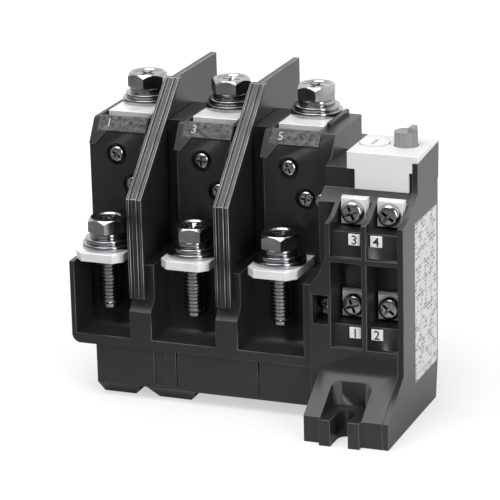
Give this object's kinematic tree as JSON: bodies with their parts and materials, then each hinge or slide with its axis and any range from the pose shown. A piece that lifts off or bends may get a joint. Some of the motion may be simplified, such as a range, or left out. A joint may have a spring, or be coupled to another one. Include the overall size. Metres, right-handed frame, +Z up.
{
  "type": "thermal overload relay",
  "caption": "Thermal overload relay with hexagon-bolt load and line terminals, phase barriers, auxiliary contact block with setting dial and reset button, and a slotted foot.",
  "frame": {"origin": "centre of the bounding box in plan, on the mounting plane", "axes": "+X across the poles from the left heater wall towards the auxiliary contact block, +Y from the foot and load terminals to the line terminals, +Z up from the mounting plane"},
  "size_m": [0.096, 0.077, 0.0834],
  "materials": {
    "black_moulding": "satin gloss, moulded",
    "name_plate": "matte, bare",
    "nickel_plate": "bright plated",
    "zinc_steel": "zinc plated",
    "bimetal": "rolled strip",
    "heater_alloy": "rolled strip",
    "grey_lever": "matte, moulded",
    "label": "matte film, bare",
    "light_cover": "fine grained",
    "white_plastic": "smooth",
    "contact_silver": "silver plated",
    "reset_plastic": "smooth",
    "spring_steel": "drawn wire"
  },
  "bodies": {
    "housing": {"base_plate": "black_moulding", "base_screws": "zinc_steel", "heater_housing": "black_moulding", "phase_barrier_left": "black_moulding", "phase_barrier_right": "black_moulding", "name_plates": "name_plate", "load_plate_1": "nickel_plate", "load_plate_2": "nickel_plate", "load_plate_3": "nickel_plate", "line_plate_1": "nickel_plate", "line_plate_2": "nickel_plate", "line_plate_3": "nickel_plate", "wide_washers": "zinc_steel", "plain_washers": "zinc_steel", "spring_washers": "zinc_steel", "load_bolts": "zinc_steel", "line_bolts": "zinc_steel", "element_screws": "zinc_steel", "bimetal_1": "bimetal", "bimetal_2": "bimetal", "bimetal_3": "bimetal", "heater_1": "heater_alloy", "heater_2": "heater_alloy", "heater_3": "heater_alloy", "control_housing": "black_moulding", "control_side_cover": "black_moulding", "side_label": "label", "setting_cover": "light_cover", "adjusting_pin": "zinc_steel", "lever_pin": "zinc_steel", "rocker_pin": "zinc_steel", "nc_terminal_left": "nickel_plate", "nc_terminal_right": "nickel_plate", "no_terminal_left": "nickel_plate", "no_terminal_right": "nickel_plate", "link_terminal": "nickel_plate", "aux_screws": "zinc_steel", "aux_clamps": "zinc_steel", "marker_tiles": "white_plastic", "reset_spring": "spring_steel"},
    "trip_bar": {"trip_slider": "grey_lever"},
    "compensator": {"compensating_lever": "grey_lever"},
    "rocker": {"contact_rocker": "grey_lever", "nc_bridge": "contact_silver", "no_bridge": "contact_silver"},
    "dial": {"setting_dial": "white_plastic", "setting_cam": "white_plastic"},
    "adjuster": {"adjusting_lever": "zinc_steel"},
    "reset": {"reset_button": "reset_plastic"}
  },
  "joints": [
    {"name": "reset_press", "type": "slide", "parent": "housing", "child": "reset", "axis": [0, 0, -1], "range_m": [0, 0.0025], "stiffness_N_per_m": 400, "springref_m": -0.002, "deforming": ["reset_spring"]},
    {"name": "dial_turn", "type": "hinge", "parent": "housing", "child": "dial", "pos_m": [0.0328, -0.0003, 0.07], "axis": [0, 0, 1], "range_deg": [0, 270]},
    {"name": "adjuster_tilt", "type": "hinge", "parent": "housing", "child": "adjuster", "pos_m": [0.0285, -0.005, 0.048], "axis": [0, 1, 0], "range_deg": [-4.05, 0]},
    {"name": "slider_trip", "type": "slide", "parent": "housing", "child": "trip_bar", "axis": [1, 0, 0], "range_m": [0, 0.0025], "stiffness_N_per_m": 150},
    {"name": "compensator_swing", "type": "hinge", "parent": "housing", "child": "compensator", "pos_m": [0.0285, -0.007, 0.026], "axis": [0, 0, 1], "range_deg": [-15.45, 0]},
    {"name": "rocker_tilt", "type": "hinge", "parent": "housing", "child": "rocker", "pos_m": [0.0372, 0.001, 0.044], "axis": [1, 0, 0], "range_deg": [-8.62, 0]}
  ],
  "couplings": [
    {"joint": "adjuster_tilt", "follows": "dial_turn", "ratio": -0.014855},
    {"joint": "compensator_swing", "follows": "slider_trip", "rad_per_m": -107.53},
    {"joint": "rocker_tilt", "follows": "slider_trip", "rad_per_m": -60}
  ]
}
